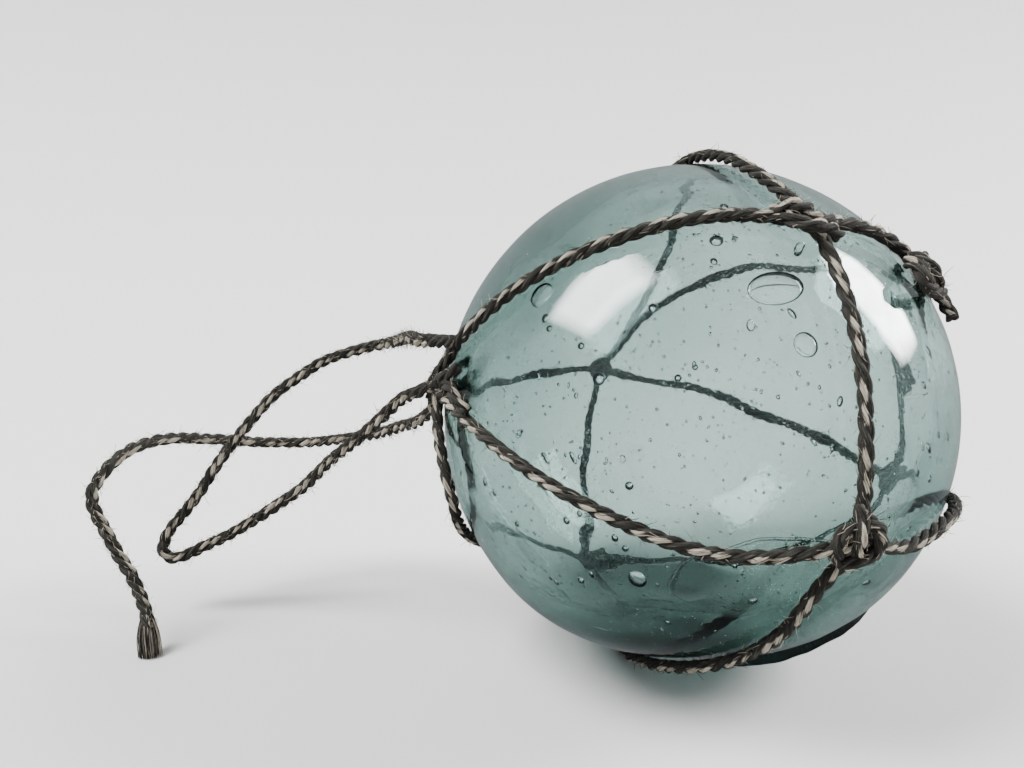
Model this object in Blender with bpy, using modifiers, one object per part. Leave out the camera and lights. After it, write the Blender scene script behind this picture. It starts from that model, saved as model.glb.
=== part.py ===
# Glass float ball in a knotted cord net, with a hanging loop and a loose tail.
# Metres, +Z up, X to the right and Y away. The origin is on the floor, under the ball's centre,
# in the small flat spot that the ball rests on.

import math

import bmesh
import bpy
from mathutils import Matrix, Vector

# Driving dimensions, in metres and degrees
BALL_RADIUS = 0.045
CORD_DIAMETER = 0.0022        # the net's cord, drawn tight over the glass
FREE_CORD_DIAMETER = 0.0026   # the same cord where it hangs free and its strands open
CLEARANCE = 0.0003            # between the cord and the glass, and between two ends of cord
CORD_PRESSED = 0.0002         # how far the ball's weight flattens the strand under it

# The blown ball isn't quite round. Places are azimuth and elevation seen from its centre.
BULGE_HEIGHT = 0.0007         # fuller low on the left
BULGE_PLACE = (-146, -36)
BULGE_SPREAD = 14
DENT_DEPTH = 0.0013           # flatter low on the near side
DENT_PLACE = (-95, -61)
DENT_SPREAD = 15
BASE_DEPTH = 0.0016           # pressed flat under its seal
BASE_SPREAD = 17

SEAL_RADIUS = 0.0175          # the button of glass that closes the blow hole
SEAL_THICKNESS = 0.0022       # at its middle
SEAL_EDGE = 0.0011            # radius of its rounded rim
SEAL_ROOT = 0.004             # how deep it is fused into the ball
SEAL_PLACE = (0, -70)
SEAL_RAMP = 0.0045            # over this distance a strand climbs onto it

TURN_RADIUS = 0.0024          # centre line of one turn of cord in a knot
TURN_TILT = 24                # lean of the upper turn of a knot
TURN_SHIFT = 0.0010           # how far the two turns lie apart
CUT_END_LENGTH = 0.0062       # the cord's cut end that stands out of the last knot
STUB_LENGTH = 0.0068          # from a knot's middle to where a free cord begins
STRAIGHT_START = 0.004        # how far a free cord runs on before it bends

POINT_SPACING = 0.0066        # between the points of a net strand's centre line
FREE_SPACING = 0.0056         # and of a free cord's
CORD_SIDES = 2                # bevel resolution of the cords

# Where the knots lie, as azimuth and elevation seen from the ball's centre
KNOTS = {
    "left": (-172, 8.3),
    "top": (-70.7, 46.4),
    "front": (-71.3, -11.8),
    "back": (107, 5.2),
    "under": (129, -61),
    "right": (-30, 30.8),
    "low": (0, -20.5),
}
UNDER_BALL = (-170, -74)      # where the strand that the ball rests on passes under it
LOOP_TIED = (-160.5, 18.6)    # where the loop's end is tied in, behind a strand

# The net's strands: from knot, to knot, and the directions that each passes between them
STRANDS = [
    ("left", "top", [LOOP_TIED, (-151, 25.6), (-124, 41.2), (-96, 48.3)]),
    ("left", "front", [(-146, 3.7), (-121, -5.3), (-96, -13)]),
    ("top", "front", [(-71.3, 27), (-72, 5)]),
    ("front", "under", [(-77, -21), (-81, -34), (-105, -61), UNDER_BALL]),
    ("front", "low", [(-57, -14.8), (-41, -13.2), (-20, -14.6)]),
    ("top", "right", [(-59, 46.6), (-44, 43)]),
    ("top", "back", [(-74.5, 62), (-75, 78), (98, 72), (94, 42), (98, 21)]),
    ("left", "under", [(-167, -3), (-162.5, -12), (-164, -20), (-175, -29), (169, -38), (155, -47)]),
    ("left", "back", [(160, 6.7), (139, 8), (122, 6.5)]),
    ("back", "under", [(111, -10), (114, -28), (120, -46)]),
    ("right", "back", [(2, 38), (36, 39.5), (66, 34.5), (91, 23.5)]),
    ("right", "low", [(-10, 29.3), (0, 23.5), (1, 12), (0.5, -4)]),
    ("back", "low", [(86, -1), (60, -11.5), (32, -18.4)]),
    ("low", "under", [(2, -31), (25, -58), (70, -68)]),
]
CUT_END = (-37, 22)           # the direction that the cut end points to, from the right knot

# Free cords: points of their centre lines in millimetres from the left knot, chosen by hand
LOOP_POINTS = [
    (-12, 9.5, -8.5), (-17.5, 12.5, -13.5), (-23.5, 16, -18.5), (-29.5, 19, -24.5),
    (-35, 20.5, -28.5), (-41, 21, -32.5), (-46.5, 21.3, -35.8), (-51.7, 21, -38.2), (-55.6, 20.6, -40),
    (-58.4, 20.4, -40.6), (-60.2, 20.6, -39.2), (-60, 21, -36.8), (-58.4, 21.7, -34),
    (-56, 23, -31), (-53, 24, -27), (-50, 25.5, -22), (-46.5, 27.3, -17), (-42.5, 29, -12),
    (-38.5, 31, -7.5), (-33.3, 32.4, -3.7), (-27.8, 33, -0.3), (-22.3, 33, 1.6), (-16.5, 31.4, 3.2),
    (-12.3, 27.8, 4.3), (-9.6, 22, 5.4), (-7.6, 15, 6.5), (-5.6, 8, 7.4),
]
TAIL_POINTS = [
    (-5.5, 14.2, -10), (-9, 19, -11.8), (-15, 26.6, -15), (-22, 33.3, -17.5),
    (-28.6, 38, -19.3), (-35, 40, -20.2), (-40.6, 40, -20.2), (-45.7, 38, -19.6), (-50.4, 35, -18.4),
    (-54, 30.3, -17.1), (-57.4, 25.4, -15.8), (-60.8, 21.4, -15.5), (-63.7, 17.3, -16.2),
    (-65.6, 14, -17.8), (-67.1, 11.6, -20), (-68.4, 10.1, -22.8), (-68.4, 9.7, -25.7),
    (-67, 9.2, -28.6), (-64.9, 8.6, -32.5), (-62.8, 7.8, -35.9), (-60.7, 6.7, -38.3),
    (-58.9, 5.4, -40.8), (-57.4, 4.1, -43.1), (-56.2, 2.8, -45.3), (-55.4, 1.4, -47.5),
    (-54.8, 0.3, -49), (-54.5, -0.3, -50.2),
]
LOOP_LEAVES = (-5, 4.5, -2.8)     # directions of the two stubs at the left knot
TAIL_LEAVES = (-1.3, 6.3, -4.6)
LOOP_RETURNS = (-4.2, 5, -0.3)    # and of the stub where the loop is tied in
TAIL_BRUSH = 1.6                  # how much thicker the frayed end of the tail is

CORD_RADIUS = CORD_DIAMETER / 2
FREE_CORD_RADIUS = FREE_CORD_DIAMETER / 2
SEAL_CROWN = BALL_RADIUS - BASE_DEPTH + SEAL_THICKNESS    # the seal's dome has the ball's centre


def direction(place):
    """Unit vector from an azimuth and an elevation in degrees."""
    azimuth, elevation = (math.radians(angle) for angle in place)
    level = math.cos(elevation)
    return Vector((level * math.cos(azimuth), level * math.sin(azimuth), math.sin(elevation)))


def bell(aim, place, spread):
    """1 at a place on the ball, fading around it."""
    away = math.degrees(aim.angle(direction(place)))
    return math.exp(-0.5 * (away / spread) ** 2)


def glass_radius(aim):
    """Radius of the ball without its seal along a unit vector."""
    return (BALL_RADIUS + BULGE_HEIGHT * bell(aim, BULGE_PLACE, BULGE_SPREAD)
            - DENT_DEPTH * bell(aim, DENT_PLACE, DENT_SPREAD)
            - BASE_DEPTH * bell(aim, SEAL_PLACE, BASE_SPREAD))


def cord_path_radius(aim):
    """Distance from the ball's centre at which a cord's centre line lies on the glass."""
    reach = math.asin(SEAL_RADIUS / BALL_RADIUS) - aim.angle(direction(SEAL_PLACE))
    step = min(max(reach * BALL_RADIUS / SEAL_RAMP + 1, 0), 1)
    climb = (SEAL_CROWN - glass_radius(aim)) * step * step * (3 - 2 * step)
    return glass_radius(aim) + climb + CLEARANCE + CORD_RADIUS


CENTRE_HEIGHT = (cord_path_radius(direction(UNDER_BALL)) * math.sin(math.radians(-UNDER_BALL[1]))
                 + CORD_RADIUS - CORD_PRESSED)
CENTRE = Vector((0, 0, CENTRE_HEIGHT))


def on_ball(aim, rise=0):
    """Point of a cord's centre line on the ball, rise above its usual place."""
    return CENTRE + aim * (cord_path_radius(aim) + rise)


def smooth_route(route, spacing):
    """Points at an even spacing along a Catmull-Rom curve through the route's points."""
    ends = [2 * route[0] - route[1], *route, 2 * route[-1] - route[-2]]
    fine = []
    for a, b, c, d in zip(ends, ends[1:], ends[2:], ends[3:]):
        for step in range(12):
            t = step / 12
            fine.append(0.5 * (2 * b + (c - a) * t + (2 * a - 5 * b + 4 * c - d) * t ** 2
                               + (3 * b - a - 3 * c + d) * t ** 3))
    fine.append(route[-1])
    runs = [(q - p).length for p, q in zip(fine, fine[1:])]
    count = max(2, round(sum(runs) / spacing))
    wanted, walked, points = 1, 0, [fine[0]]
    for p, q, run in zip(fine, fine[1:], runs):
        while wanted < count and walked + run >= wanted * sum(runs) / count:
            points.append(p.lerp(q, (wanted * sum(runs) / count - walked) / run))
            wanted += 1
        walked += run
    points.append(fine[-1])
    return points


def material(name, colour, roughness, alpha=1):
    made = bpy.data.materials.new(name)
    made.use_nodes = True
    shader = made.node_tree.nodes["Principled BSDF"]
    shader.inputs["Base Color"].default_value = (*colour, 1)
    shader.inputs["Roughness"].default_value = roughness
    shader.inputs["Metallic"].default_value = 0
    shader.inputs["Alpha"].default_value = alpha
    return made


def collection(name):
    made = bpy.data.collections.new(name)
    bpy.context.scene.collection.children.link(made)
    return made


def add_mesh(name, shape, where, look=None):
    """Object from a bmesh."""
    mesh = bpy.data.meshes.new(name)
    shape.to_mesh(mesh)
    shape.free()
    made = bpy.data.objects.new(name, mesh)
    where.objects.link(made)
    if look:
        mesh.materials.append(look)
    return made


def hide_helper(helper):
    helper.hide_render = True
    helper.display_type = "WIRE"
    return helper


def combine(target, other, operation):
    step = target.modifiers.new(other.name, "BOOLEAN")
    step.operation = operation
    step.object = other
    return step


def cord(name, points, radius, where, look, sizes=None):
    """A cord as a tube with flat capped ends, along points that are already close together."""
    curve = bpy.data.curves.new(name, "CURVE")
    curve.dimensions = "3D"
    curve.bevel_depth = radius
    curve.bevel_resolution = CORD_SIDES
    curve.use_fill_caps = True
    spline = curve.splines.new("POLY")
    spline.points.add(len(points) - 1)
    for index, (node, point) in enumerate(zip(spline.points, points)):
        node.co = (*point, 1)
        node.radius = sizes[index] if sizes else 1
    curve.materials.append(look)
    made = bpy.data.objects.new(name, curve)
    where.objects.link(made)
    return made


def as_mesh(tube, where):
    """A closed mesh in place of a cord, so that it can be joined to others."""
    bpy.context.view_layer.update()
    graph = bpy.context.evaluated_depsgraph_get()
    mesh = bpy.data.meshes.new_from_object(tube.evaluated_get(graph))
    welded = bmesh.new()
    welded.from_mesh(mesh)
    bmesh.ops.remove_doubles(welded, verts=welded.verts, dist=0.00001)
    bmesh.ops.recalc_face_normals(welded, faces=welded.faces)
    welded.to_mesh(mesh)
    welded.free()
    made = bpy.data.objects.new(tube.name, mesh)
    made.matrix_world = tube.matrix_world
    where.objects.link(made)
    bpy.data.objects.remove(tube)
    return hide_helper(made)


def turn_of_cord(name, centre, outward, tilt, where, look):
    """One closed turn of cord, as in a knot, leaning by tilt from lying flat on the ball."""
    lie = outward.to_track_quat("Z", "Y").to_matrix().to_4x4()
    bpy.ops.mesh.primitive_torus_add(major_segments=12, minor_segments=6,
                                     major_radius=TURN_RADIUS, minor_radius=CORD_RADIUS)
    made = bpy.context.object
    made.name = name
    made.matrix_world = Matrix.Translation(centre) @ lie @ Matrix.Rotation(math.radians(tilt), 4, "X")
    for old in made.users_collection:
        old.objects.unlink(made)
    where.objects.link(made)
    made.data.materials.append(look)
    return hide_helper(made)


def knot_core(name, centre, outward, height, where, look):
    """The packed middle of a knot, which its turns wrap."""
    shape = bmesh.new()
    lie = outward.to_track_quat("Z", "Y").to_matrix().to_4x4()
    size = Matrix.Diagonal((TURN_RADIUS, TURN_RADIUS, height, 1))
    bmesh.ops.create_icosphere(shape, subdivisions=2, radius=1,
                               matrix=Matrix.Translation(centre) @ lie @ size)
    return hide_helper(add_mesh(name, shape, where, look))


def build_ball(where, helpers, look):
    """The blown ball with its fused seal, and the flat spot that it rests on."""
    shape = bmesh.new()
    bmesh.ops.create_uvsphere(shape, u_segments=40, v_segments=22, radius=1)
    for vertex in shape.verts:
        aim = vertex.co.normalized()
        vertex.co = CENTRE + aim * glass_radius(aim)
    ball = add_mesh("glass_ball", shape, where, look)

    seal = build_seal(helpers, look)
    combine(ball, seal, "UNION")
    combine(ball, build_floor(helpers), "DIFFERENCE")
    ball.data.shade_smooth()
    ball.data.set_sharp_from_angle(angle=math.radians(30))
    return ball


def build_seal(helpers, look):
    """The low button of glass: a dome with the ball's own curve and a rounded rim, turned."""
    rim_angle = math.asin((SEAL_RADIUS - SEAL_EDGE) / SEAL_CROWN)
    profile = [Vector((SEAL_CROWN * math.sin(a), 0, SEAL_CROWN * math.cos(a)))
               for a in (rim_angle * step / 5 for step in range(6))]
    inside = SEAL_CROWN - SEAL_EDGE
    middle = Vector((inside * math.sin(rim_angle), 0, inside * math.cos(rim_angle)))
    for step in range(1, 4):
        a = rim_angle + (math.radians(100) - rim_angle) * step / 3
        profile.append(middle + SEAL_EDGE * Vector((math.sin(a), 0, math.cos(a))))
    profile.append(profile[-1] - Vector((0, 0, SEAL_ROOT)))
    profile.append(Vector((0, 0, profile[-1].z)))
    mesh = bpy.data.meshes.new("seal_button")
    mesh.from_pydata([tuple(point) for point in profile],
                     [(i, i + 1) for i in range(len(profile) - 1)], [])
    seal = bpy.data.objects.new("seal_button", mesh)
    helpers.objects.link(seal)
    mesh.materials.append(look)
    screw = seal.modifiers.new("turn", "SCREW")
    screw.axis = "Z"
    screw.steps = screw.render_steps = 36
    screw.use_merge_vertices = True
    screw.merge_threshold = 0.00001
    seal.matrix_world = (Matrix.Translation(CENTRE)
                         @ direction(SEAL_PLACE).to_track_quat("Z", "Y").to_matrix().to_4x4())
    return hide_helper(seal)


def build_floor(helpers):
    """A block whose top is the plane that the object rests on."""
    shape = bmesh.new()
    depth = BALL_RADIUS / 2
    bmesh.ops.create_cube(shape, size=1, matrix=Matrix.Translation((0, 0, -depth / 2))
                          @ Matrix.Diagonal((4 * BALL_RADIUS, 4 * BALL_RADIUS, depth, 1)))
    return hide_helper(add_mesh("floor_plane", shape, helpers))


def strand_points(first, last, between):
    """A net strand's centre line: a smooth curve through its directions, laid on the glass."""
    aims = [direction(KNOTS[first]), *(direction(place) for place in between), direction(KNOTS[last])]
    route = smooth_route([aim * cord_path_radius(aim) for aim in aims], POINT_SPACING)
    return [on_ball(point.normalized()) for point in route]


def free_cord_root(place):
    """Where the middle of a free cord's stub starts in the net."""
    return on_ball(direction(place), FREE_CORD_RADIUS - CORD_RADIUS)


def build_net(where, helpers, look):
    """The whole net as one piece: its strands, its knots, the cut end and the three stubs."""
    members = collection("net_members")
    for first, last, between in STRANDS:
        route = strand_points(first, last, between)
        tube = cord(f"strand_{first}_{last}", route, CORD_RADIUS, helpers, look)
        as_mesh(tube, members)
    for name, place in KNOTS.items():
        aim = direction(place)
        aside = aim.cross(Vector((0.3, 0.2, 1))).normalized() * TURN_SHIFT / 2
        turn_of_cord(f"turn_low_{name}", on_ball(aim) - aside, aim, 0, members, look)
        rise = (TURN_RADIUS + CORD_RADIUS) * math.sin(math.radians(TURN_TILT)) / 2
        turn_of_cord(f"turn_high_{name}", on_ball(aim, 2 * rise) + aside, aim, TURN_TILT, members, look)
        knot_core(f"core_{name}", on_ball(aim, rise), aim, CORD_RADIUS + rise, members, look)

    start = on_ball(direction(KNOTS["right"]))
    along = (on_ball(direction(CUT_END), CORD_RADIUS) - start).normalized()
    cut_end = cord("cut_end", [start, start + along * CUT_END_LENGTH], CORD_RADIUS, helpers, look)
    as_mesh(cut_end, members)
    stubs = (("loop_out", KNOTS["left"], LOOP_LEAVES), ("tail_out", KNOTS["left"], TAIL_LEAVES),
             ("loop_back", LOOP_TIED, LOOP_RETURNS))
    for name, place, leaves in stubs:
        start = free_cord_root(place)
        end = start + Vector(leaves).normalized() * STUB_LENGTH
        as_mesh(cord(name, [start, end], FREE_CORD_RADIUS, helpers, look), members)

    parts = list(members.objects)
    net = parts[0].copy()
    net.data = parts[0].data.copy()
    net.name = "net"
    net.hide_render = False
    net.display_type = "TEXTURED"
    where.objects.link(net)
    members.objects.unlink(parts[0])
    bpy.data.objects.remove(parts[0])
    joined = net.modifiers.new("knotted", "BOOLEAN")
    joined.operation = "UNION"
    joined.operand_type = "COLLECTION"
    joined.collection = members
    combine(net, bpy.data.objects["floor_plane"], "DIFFERENCE")
    return net


def free_route(leaves, points, returns=None):
    """Centre line of a free cord, from a stub's end, on to where the loop is tied if it returns."""
    knot = free_cord_root(KNOTS["left"])
    begin = STUB_LENGTH + CLEARANCE
    reaches = (begin, begin + STRAIGHT_START)
    route = [knot + Vector(leaves).normalized() * reach for reach in reaches]
    route += [knot + Vector(point) * 0.001 for point in points]
    if returns:
        tied = free_cord_root(LOOP_TIED)
        route += [tied + Vector(returns).normalized() * reach for reach in reversed(reaches)]
    return smooth_route(route, FREE_SPACING)


def build_free_cords(where, look):
    """The hanging loop, which leaves the left knot and is tied in above it, and the loose tail."""
    route = free_route(LOOP_LEAVES, LOOP_POINTS, LOOP_RETURNS)
    cord("hanging_loop", route, FREE_CORD_RADIUS, where, look)
    route = free_route(TAIL_LEAVES, TAIL_POINTS)
    sizes = [1] * (len(route) - 4) + [1 + (TAIL_BRUSH - 1) * step / 4 for step in range(1, 5)]
    cord("loose_tail", route, FREE_CORD_RADIUS, where, look, sizes)


def main():
    for old in list(bpy.data.objects):
        bpy.data.objects.remove(old)
    float_ball = collection("glass_float_ball")
    helpers = collection("helpers")
    glass = material("pale_teal_glass", (0.55, 0.70, 0.68), 0.05, 0.4)
    twine = material("dark_twine", (0.085, 0.078, 0.066), 0.9)
    build_ball(float_ball, helpers, glass)
    build_net(float_ball, helpers, twine)
    build_free_cords(float_ball, twine)


main()
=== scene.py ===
import math
import random
import bmesh
import bpy
from mathutils import Matrix, Vector, noise


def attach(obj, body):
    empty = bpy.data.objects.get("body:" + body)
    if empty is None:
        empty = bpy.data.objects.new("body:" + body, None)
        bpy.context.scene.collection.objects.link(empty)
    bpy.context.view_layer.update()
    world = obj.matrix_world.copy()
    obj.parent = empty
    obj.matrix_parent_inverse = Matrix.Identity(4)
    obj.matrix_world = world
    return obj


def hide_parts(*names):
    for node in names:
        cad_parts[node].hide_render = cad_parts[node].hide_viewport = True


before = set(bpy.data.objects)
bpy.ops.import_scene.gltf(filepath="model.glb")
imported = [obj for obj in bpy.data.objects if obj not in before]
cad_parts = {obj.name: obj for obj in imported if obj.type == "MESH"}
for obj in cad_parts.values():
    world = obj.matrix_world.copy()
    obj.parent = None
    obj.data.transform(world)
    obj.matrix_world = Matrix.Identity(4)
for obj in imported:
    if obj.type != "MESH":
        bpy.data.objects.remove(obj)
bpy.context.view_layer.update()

# Everything is in metres and degrees, in the CAD's own frame: X right, Y away, Z up.
# The ball's centre is the point that most places here are measured from.

ball = {
    "radius": 0.045,
    # the blown ball isn't quite round: azimuth, elevation, how far it stands out and the spread
    "swells": [(-146, -36, 0.0007, 14), (-95, -61, -0.0013, 15), (0, -70, -0.0016, 17)],
    # how uneven the blown surface and the cavity are, and the scale of each unevenness
    "outerWave": 0.00012,
    "outerScale": 2.6,
    "fineShare": 0.35,               # a finer unevenness, as a share of the blown surface's own
    "fineScale": 8,
    "innerWave": 0.0005,
    "innerScale": 2.1,
    "innerRipple": 0.00009,
    "rippleScale": 7,
    "wall": 0.0029,
    "thinnestWall": 0.0012,
    # where the wall is thicker, or thinner: azimuth, elevation, by how much and the spread
    "thickPlaces": [(-105, -42, 0.0031, 32), (-150, 42, 0.0028, 25), (50, -55, -0.0014, 28),
                    (165, 10, 0.0006, 30), (-54, -8, 0.0009, 22), (90, 35, 0.0004, 25)],
    "outerDetail": 7,                # detail of the icospheres
    "innerDetail": 6,
}

seal = {
    "radius": 0.0175,
    "crown": 0.0456,                 # how far its face is from the ball's centre
    "edge": 0.0011,                  # how wide its rounded rim is
    "place": (0, -70),
    "ramp": 0.0045,                  # over how much of it a strand of the net climbs onto it
    "crease": 0.00035,               # depth of the groove around it
    "lump": 0.00022,
    "lumpScale": 20,
    "rimWave": 0.0004,
    "rimScale": 9,
    "lobe": (-30, -47),              # on this side the gather of glass ran on past the round
    "lobeReach": 0.0072,
    "lobeSpread": 15,
    "lobeRise": 0.0006,
    "fineReaches": (0.0030, 0.0018),     # how near its rim the faces are halved, and halved again
}

twine = {
    "diameter": 0.0022,              # where it is drawn tight over the glass
    "freeDiameter": 0.0026,
    "clearance": 0.0003,             # between it and the glass, and between a stub and its cord
    "pressed": 0.0002,               # how far the ball presses down the strand under it
    "layLength": 0.0084,             # one full turn of the three strands, which turn to the left
    "strandShare": 0.252,            # a strand's radius as a share of the twine's diameter
    "offsetShare": 0.248,            # and how far its middle lies from the twine's
    "station": 0.0007,               # spacing of the rings of points along it
    "sides": 10,
    "unevenness": 0.11,
    "unevenScale": 260,
    "unevenLay": 0.30,
    "layScale": 90,
    "floorGap": 0.0002,              # the free cords stay this far above the floor
    "paleStrands": (1, 2),           # the strands with a cream yarn in them
    "paleDrift": 0.6,                # how far a cream yarn turns back against its strand
    "paleWander": 0.6,               # how far the cream yarn wanders around the twine, in radians
    "wanderScale": 55,
    "paleFacing": 0.34,              # how much more it shows on the side that it faces
    "palePatches": 0.2,
    "patchScale": 200,
    "paleRound": 0.66,               # how much it fades around its strand
}

knots = {
    "left": (-172, 8.3),
    "top": (-70.7, 46.4),
    "front": (-71.3, -11.8),
    "back": (107, 5.2),
    "under": (129, -61),
    "right": (-30, 30.8),
    "low": (0, -20.5),
}
underBall = (-170, -74)              # where the strand that the ball rests on passes under it
loopTied = (-160.5, 18.6)            # where the hanging loop is tied in behind a strand

cordRadius = twine["diameter"] / 2
freeCordRadius = twine["freeDiameter"] / 2
millimetre = 0.001


def direction(place):
    azimuth, elevation = (math.radians(angle) for angle in place)
    level = math.cos(elevation)
    return Vector((level * math.cos(azimuth), level * math.sin(azimuth), math.sin(elevation)))


sealAim = direction(seal["place"])
lobeAim = direction(seal["lobe"])
swells = [(direction((azimuth, elevation)), height, spread)
          for azimuth, elevation, height, spread in ball["swells"]]
thickPlaces = [(direction((azimuth, elevation)), more, spread)
               for azimuth, elevation, more, spread in ball["thickPlaces"]]


def bell(aim, towards, spread):      # 1 at a place on the ball, fading around it
    away = math.degrees(aim.angle(towards))
    return math.exp(-0.5 * (away / spread) ** 2)


def glassRadius(aim):
    swollen = sum(height * bell(aim, towards, spread) for towards, height, spread in swells)
    return ball["radius"] + swollen


def cordPathRadius(aim):
    reach = math.asin(seal["radius"] / ball["radius"]) - aim.angle(sealAim)
    step = min(max(reach * ball["radius"] / seal["ramp"] + 1, 0), 1)
    climb = (seal["crown"] - glassRadius(aim)) * step * step * (3 - 2 * step)
    return glassRadius(aim) + climb + twine["clearance"] + cordRadius


centreHeight = (cordPathRadius(direction(underBall)) * math.sin(math.radians(-underBall[1]))
                + cordRadius - twine["pressed"])
centre = Vector((0, 0, centreHeight))


def onBall(aim, rise=0):
    return centre + aim * (cordPathRadius(aim) + rise)


def freeCordRoot(place):             # where the thicker free cord's line starts over the glass
    return onBall(direction(place), freeCordRadius - cordRadius)


leftKnot = freeCordRoot(knots["left"])
tiedPlace = freeCordRoot(loopTied)


# Camera

view = {
    "fromCentre": (-0.0324, -0.1463, 0.0287),
    "pitch": -9,                     # the camera looks down a little, with no pan
    "lens": 28,
    "sensor": 36,
    "pictureSize": (1024, 768),
}


def makeCamera():
    data = bpy.data.cameras.new("photo_camera")
    data.lens = view["lens"]
    data.sensor_width = view["sensor"]
    data.clip_start = 0.005
    made = bpy.data.objects.new("photo_camera", data)
    made.location = centre + Vector(view["fromCentre"])
    made.rotation_euler = (math.radians(90 + view["pitch"]), 0, 0)
    bpy.context.scene.collection.objects.link(made)
    bpy.context.scene.camera = made
    bpy.context.view_layer.update()
    return made


camera = makeCamera()


def pixelRay(pixel):                 # unit vector from the camera through a pixel of the photograph
    width, height = view["pictureSize"]
    focal = view["lens"] / view["sensor"] * width
    inCamera = Vector((pixel[0] - width / 2, height / 2 - pixel[1], -focal))
    return (camera.matrix_world.to_3x3() @ inCamera).normalized()


# Materials

class Value:
    # a number, colour or vector of a material, with Python's own operators
    def __init__(self, look, socket):
        self.look = look
        self.socket = socket

    def maths(self, operation, first, second):
        return self.look.node("ShaderNodeMath", {"operation": operation}, {0: first, 1: second})

    def __add__(self, other):
        return self.maths("ADD", self, other)

    def __radd__(self, other):
        return self.maths("ADD", other, self)

    def __sub__(self, other):
        return self.maths("SUBTRACT", self, other)

    def __rsub__(self, other):
        return self.maths("SUBTRACT", other, self)

    def __mul__(self, other):
        return self.maths("MULTIPLY", self, other)

    def __rmul__(self, other):
        return self.maths("MULTIPLY", other, self)

    def clamped(self):
        return self.look.node("ShaderNodeClamp", {}, {"Value": self})


class Look:
    # the nodes of the sky, a window's light or a material
    def __init__(self, tree):
        self.tree = tree

    def join(self, target, value):
        if isinstance(value, Value):
            self.tree.links.new(value.socket, target)
        else:
            target.default_value = value

    def node(self, kind, settings, inputs, output=0):
        made = self.tree.nodes.new(kind)
        for name, value in settings.items():
            setattr(made, name, value)
        for name, value in inputs.items():
            self.join(made.inputs[name], value)
        return Value(self, made.outputs[output])

    def blend(self, amount, first, second):    # a colour between two others
        return self.node("ShaderNodeMix", {"data_type": "RGBA"},
                         {"Factor": amount, 6: first, 7: second}, 2)

    def scaled(self, vector, factors):
        return self.node("ShaderNodeVectorMath", {"operation": "MULTIPLY"}, {0: vector, 1: factors})

    def coordinate(self, kind):
        return self.node("ShaderNodeTexCoord", {}, {}, kind)

    def noise(self, vector, scale, detail=3, roughness=0.55):
        return self.node("ShaderNodeTexNoise", {},
                         {"Vector": vector, "Scale": scale, "Detail": detail, "Roughness": roughness})

    def remap(self, value, low, high, lowOut=0, highOut=1):
        return self.node("ShaderNodeMapRange", {},
                         {"Value": value, "From Min": low, "From Max": high,
                          "To Min": lowOut, "To Max": highOut})


class Finish(Look):
    # a Principled material
    def __init__(self, name, **plain):
        self.material = bpy.data.materials.new(name)
        self.material.use_nodes = True
        super().__init__(self.material.node_tree)
        self.shader = self.tree.nodes["Principled BSDF"]
        self.feed(**plain)

    def feed(self, **inputs):
        for socket, value in inputs.items():
            self.join(self.shader.inputs[socket.replace("_", " ")], value)

    def bump(self, height, strength, distance):
        self.feed(Normal=self.node("ShaderNodeBump", {}, {"Height": height, "Strength": strength,
                                                          "Distance": distance}))


def opaque(colour):
    return (*colour, 1)


glassFinish = {
    "tint": (0.97, 1.0, 0.995),
    "roughness": 0.0,
    "ior": 1.5,
    "kept": (0.335, 0.49, 0.465),    # what colour the depth of the glass keeps
    "density": 260,
    "rippleScale": 190,
    "pitScale": 2100,
    "pitRange": (0.66, 0.80),        # the heights of the noise between which a pit starts and is full
    "rippleHeight": 0.5,
    "pitHeight": 0.2,
    "bumpStrength": 0.08,
    "bumpDepth": 0.0004,
}


def makeGlassLook():
    look = Finish("pale_teal_glass", Base_Color=opaque(glassFinish["tint"]),
                  Roughness=glassFinish["roughness"], IOR=glassFinish["ior"], Transmission_Weight=1)
    depths = look.node("ShaderNodeVolumeAbsorption", {},
                       {"Color": opaque(glassFinish["kept"]), "Density": glassFinish["density"]})
    look.join(look.tree.nodes["Material Output"].inputs["Volume"], depths)
    place = look.coordinate("Object")
    ripple = look.noise(place, glassFinish["rippleScale"], 2)
    pits = look.remap(look.noise(place, glassFinish["pitScale"], 2), *glassFinish["pitRange"])
    look.bump(ripple * glassFinish["rippleHeight"] - pits * glassFinish["pitHeight"],
              glassFinish["bumpStrength"], glassFinish["bumpDepth"])
    return look.material


twineFinish = {
    # painted shade: the first colour of a yarn is laid between its fibres, where the bump's streaks are
    # low
    "paintedShade": (0.003, 0.0028, 0.0022),
    "dark": (0.022, 0.0205, 0.0165),
    "worn": (0.115, 0.106, 0.088),
    # the cream yarn's painted shade between its fibres
    "creamPaintedShade": (0.08, 0.068, 0.05),
    "cream": (0.33, 0.295, 0.235),
    "creamWorn": (0.55, 0.52, 0.46),
    "roughness": (0.84, 0.98),
    "gloss": 0.2,
    "sheen": 0.02,
    "sheenRoughness": 0.6,
    "fibreStretch": (420, 4300, 4300),   # fibres run along the strand
    "patchScale": 420,
    "speckScale": 3200,
    "wearRange": (0.54, 0.72),       # the heights of the noise between which wear starts and is full
    # the heights of the noise below which the painted shade between fibres is full, and above which it
    # is gone
    "paintedShadeRange": (0.34, 0.54),
    "patchRange": (0.40, 0.66),
    "leastWear": 0.2,
    "creamRange": (1.04, 1.15),
    "raggedCream": 0.6,              # how far the fibres break up a cream yarn's edge
    "speckHeight": 0.35,
    "bumpDepth": 0.00042,
}


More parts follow.
